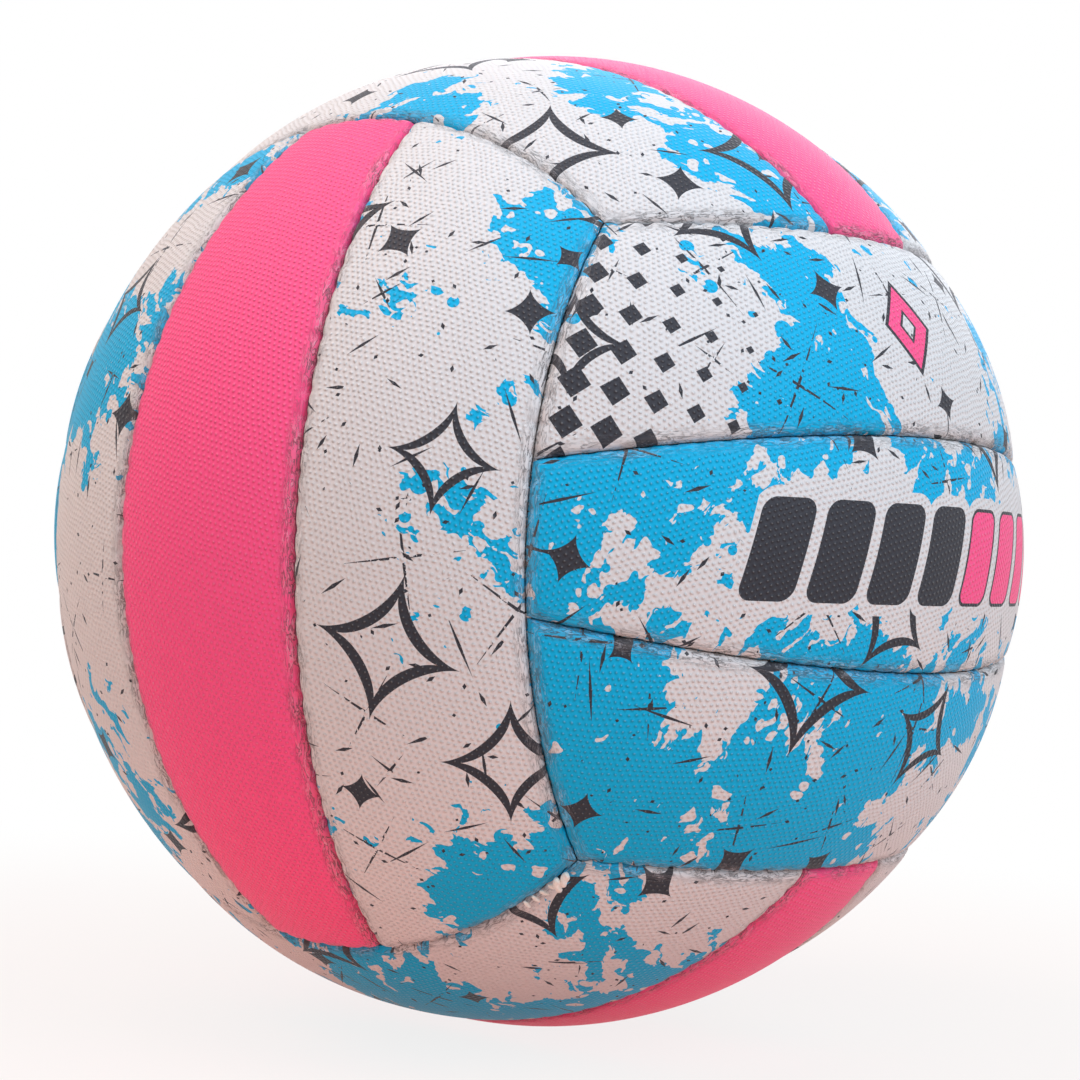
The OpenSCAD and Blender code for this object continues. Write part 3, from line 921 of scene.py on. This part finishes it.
class NETBALL_OT_closing_thread(bpy.types.Operator):
    """Makes the closing stitches and their knot, tied from outside near a lower corner"""

    bl_idname = "netball.closing_thread"
    bl_label = "Closing thread"

    def execute(self, context):
        sizes, colours = context.scene.netball_sizes, context.scene.netball_colours
        layout = Layout(sizes)
        ahead, axis = heading(layout.tilt), heading(math.pi / 2 + layout.tilt)
        beside = np.cross(axis, ahead)
        turn = face_turn(5, 0)
        rng = np.random.default_rng(5)
        points, faces = [], []
        radius = layout.radius - sizes.panel_crown
        for j, gap in enumerate(STITCH_PLACES):
            angle = layout.reach - gap / (radius * math.sin(layout.polar))
            out = math.cos(angle) * ahead + math.sin(angle) * beside
            middle = math.sin(layout.polar) * out + math.cos(layout.polar) * axis
            over = math.cos(layout.polar) * out - math.sin(layout.polar) * axis
            along = np.cross(middle, over)
            lengths = KNOT_LOOPS
            if j:
                lengths = ((0.0, rng.uniform(-25, 25), STITCH_HALF, STITCH_RADIUS),)
            for offset, turned, half, thick in lengths:
                # A thicker length lies higher, and each sinks a little into the shoulder
                centre = middle * (radius + (1.4 * thick - 0.3) * MM) + along * offset * MM
                lean = math.radians(turned)
                reach = (math.cos(lean) * over + math.sin(lean) * along) * half * MM
                part, cells = strand(centre - reach, centre + reach, thick * sizes.thread, 2, 1.5)
                faces.append(cells + sum(len(p) for p in points))
                points.append(part @ turn.T)
        points, faces = np.concatenate(points), np.concatenate(faces)
        obj = shell("closing_thread", points, faces)
        obj.data.materials.append(waxed_thread(colours))
        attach(obj, BODY)
        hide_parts("closing_stitches")
        return {"FINISHED"}


class NETBALL_OT_inside(bpy.types.Operator):
    """Finishes the CAD pieces that stay: linings, lacing, bladder and valve"""

    bl_idname = "netball.inside"
    bl_label = "Inside"

    def execute(self, context):
        colours = context.scene.netball_colours
        finishes = {
            "waxed_thread": bpy.data.materials["waxed_polyester_thread"],
            "laminated_cloth": laminated_cloth(colours),
            "latex_bladder": dipped_latex(colours),
            "butyl_rubber": moulded_butyl(colours),
        }
        for part in frame["record"]["subparts"]:
            finish = finishes.get(part["material_slot"])
            obj = frame["nodes"][part["node"]]
            if finish is None or obj.hide_render:
                continue
            if not obj.material_slots:
                obj.data.materials.append(finish)
            for slot in obj.material_slots:
                slot.material = finish
        return {"FINISHED"}


def place_camera(scene, studio):
    """The camera that looks at the ball's centre as the photograph's does.

    Its right and forward directions, and the shift that puts the ball in its place in the
    frame, come from a fit of the seams.
    """
    right = Vector((0.7844, 0.6188, 0.0414)).normalized()
    forward = Vector((-0.6194, 0.785, 0.003))
    forward = (forward - forward.dot(right) * right).normalized()
    turn = Matrix((right, right.cross(forward), -forward)).transposed().to_4x4()
    camera = bpy.data.objects.new("camera", bpy.data.cameras.new("camera"))
    camera.matrix_world = Matrix.Translation(-forward * studio.distance * BALL_RADIUS) @ turn
    camera.data.lens, camera.data.sensor_width = studio.lens, 36
    camera.data.shift_x, camera.data.shift_y = 2.1 / 1080, 0.6 / 1080
    camera.data.clip_start, camera.data.clip_end = 0.01, 100
    scene.collection.objects.link(camera)
    scene.camera = camera


# Name, azimuth and elevation in degrees, distance, size, power in watts, colour. A cool
# lamp at the right and a warm one at the left tint the whites as in the photograph.
LAMPS = (
    ("key", 88, 34, 1.1, 0.9, 7.4, "#D6ECFF"),
    ("front", 20, 20, 1.3, 1.1, 2.2, "#F6F9FF"),
    ("overhead", 30, 80, 1.0, 0.8, 4.3, "#E0F0FF"),
    ("left", -52, 54, 1.1, 0.9, 6.3, "#FFD5BE"),
    ("back", 205, 28, 1.2, 1.0, 4.0, "#F4F6FF"),
)


def place_lamps(scene, studio):
    """Soft round lamps that face the ball's centre. Azimuth 0 is the front."""
    for name, azimuth, elevation, distance, size, power, code in LAMPS:
        a, e = math.radians(azimuth), math.radians(elevation)
        level = math.cos(e)
        place = Vector((math.sin(a) * level, -math.cos(a) * level, math.sin(e))) * distance
        lamp = bpy.data.objects.new(name, bpy.data.lights.new(name, "AREA"))
        lamp.data.shape, lamp.data.size = "DISK", size
        lamp.data.energy, lamp.data.color = power * studio.level, linear(code)
        lamp.location = place
        lamp.rotation_euler = (-place).to_track_quat("-Z", "Y").to_euler()
        lamp.visible_camera = False
        scene.collection.objects.link(lamp)


def rays_to_white(tree):
    """One for a ray that should meet white: from the camera, a gloss or a clear piece."""
    rays = add(tree, "LightPath")
    seen, through = rays.outputs["Is Camera Ray"], rays.outputs["Is Transmission Ray"]
    seen = add(tree, "MAXIMUM", seen, through)
    return add(tree, "MAXIMUM", seen, rays.outputs["Is Glossy Ray"])


# Metres from the ball's centre between which the shadow fades out to the camera, and how
# much of the floor's white is kept in it
SHADOW_FULL, SHADOW_END = 0.16, 0.4
SHADOW_WHITE = 0.84
# Metres between which the floor's warm glow under the ball fades out, and its strength: the
# glow is an emission that lights the ball from below
GLOW_FULL, GLOW_END = 0.13, 0.3
GLOW_STRENGTH = 0.2


def glowing_matt_floor(studio):
    """Matt paint with no gloss, white to the camera, and near the ball a warm glow, an emission that
    lights the ball.
    """
    material, tree = new_material("glowing_matt_floor")
    matt = add(tree, "BsdfDiffuse", studio.floor)
    bright = add(tree, "Emission", WHITE_LIGHT, 1.0)
    away = add(tree, "VectorMath.LENGTH", add(tree, "TexCoord").outputs["Object"]).outputs["Value"]
    clear = add(tree, "MapRange", away, SHADOW_FULL, SHADOW_END, SHADOW_WHITE, 1.0, **EASED)
    warmth = GLOW_STRENGTH * studio.level
    local = add(tree, "MapRange", away, GLOW_FULL, GLOW_END, warmth, 0.0, **EASED)
    seen = rays_to_white(tree)
    unseen = add(tree, "MULTIPLY", add(tree, "SUBTRACT", 1.0, seen), local)
    # Near the ball the floor glows warm to the rays that light the ball: an emission from the floor
    glow = add(tree, "AddShader", matt, add(tree, "Emission", studio.floor_glow, unseen))
    seen = add(tree, "MULTIPLY", seen, clear)
    add(tree, "OutputMaterial", add(tree, "MixShader", seen, glow, bright))
    return material


def white_surroundings(studio):
    """A world that is white to the camera and lights the ball faintly from all round."""
    world = bpy.data.worlds.new("surroundings")
    world.use_nodes = True
    tree = world.node_tree
    tree.nodes.clear()
    around = add(tree, "Background", studio.ambient, 0.4 * studio.level)
    white = add(tree, "Background", WHITE_LIGHT, 1.0)
    add(tree, "OutputWorld", add(tree, "MixShader", rays_to_white(tree), around, white))
    return world


class NETBALL_OT_stage(bpy.types.Operator):
    """Sets the camera, the lamps, the pale floor and the white surroundings"""

    bl_idname = "netball.stage"
    bl_label = "Stage"

    def execute(self, context):
        scene, studio = context.scene, context.scene.netball_studio
        place_camera(scene, studio)
        place_lamps(scene, studio)
        side, low = 4.0, CAD_BOX[0][2]
        corners = [(x * side, y * side, low) for x, y in ((-1, -1), (1, -1), (1, 1), (-1, 1))]
        mesh = bpy.data.meshes.new("floor")
        mesh.from_pydata(corners, [], [(0, 1, 2, 3)])
        floor = bpy.data.objects.new("floor", mesh)
        scene.collection.objects.link(floor)
        floor.data.materials.append(glowing_matt_floor(studio))
        scene.world = white_surroundings(studio)
        scene.view_settings.view_transform = "Standard"
        return {"FINISHED"}


class NETBALL_PT_looks(bpy.types.Panel):
    """Lists the steps and the values that they use"""

    bl_idname = "NETBALL_PT_looks"
    bl_label = "Netball"
    bl_space_type = "VIEW_3D"
    bl_region_type = "UI"
    bl_category = "Netball"

    def draw(self, context):
        for operator in OPERATORS:
            self.layout.operator(operator.bl_idname)
        for name, _ in GROUPS:
            group = getattr(context.scene, name)
            box = self.layout.box()
            for key in group.__annotations__:
                box.prop(group, key)


OPERATORS = (NETBALL_OT_panels, NETBALL_OT_closing_thread, NETBALL_OT_inside, NETBALL_OT_stage)
GROUPS = (
    ("netball_sizes", NetballSizes),
    ("netball_colours", NetballColours),
    ("netball_studio", NetballStudio),
)


def register():
    for name, group in GROUPS:
        bpy.utils.register_class(group)
        setattr(bpy.types.Scene, name, bpy.props.PointerProperty(type=group))
    for cls in (*OPERATORS, NETBALL_PT_looks):
        bpy.utils.register_class(cls)


def unregister():
    for cls in (NETBALL_PT_looks, *reversed(OPERATORS)):
        bpy.utils.unregister_class(cls)
    for name, group in reversed(GROUPS):
        delattr(bpy.types.Scene, name)
        bpy.utils.unregister_class(group)


def main():
    register()
    bpy.ops.netball.panels()
    bpy.ops.netball.closing_thread()
    bpy.ops.netball.inside()
    bpy.ops.netball.stage()


if __name__ == "__main__":
    main()
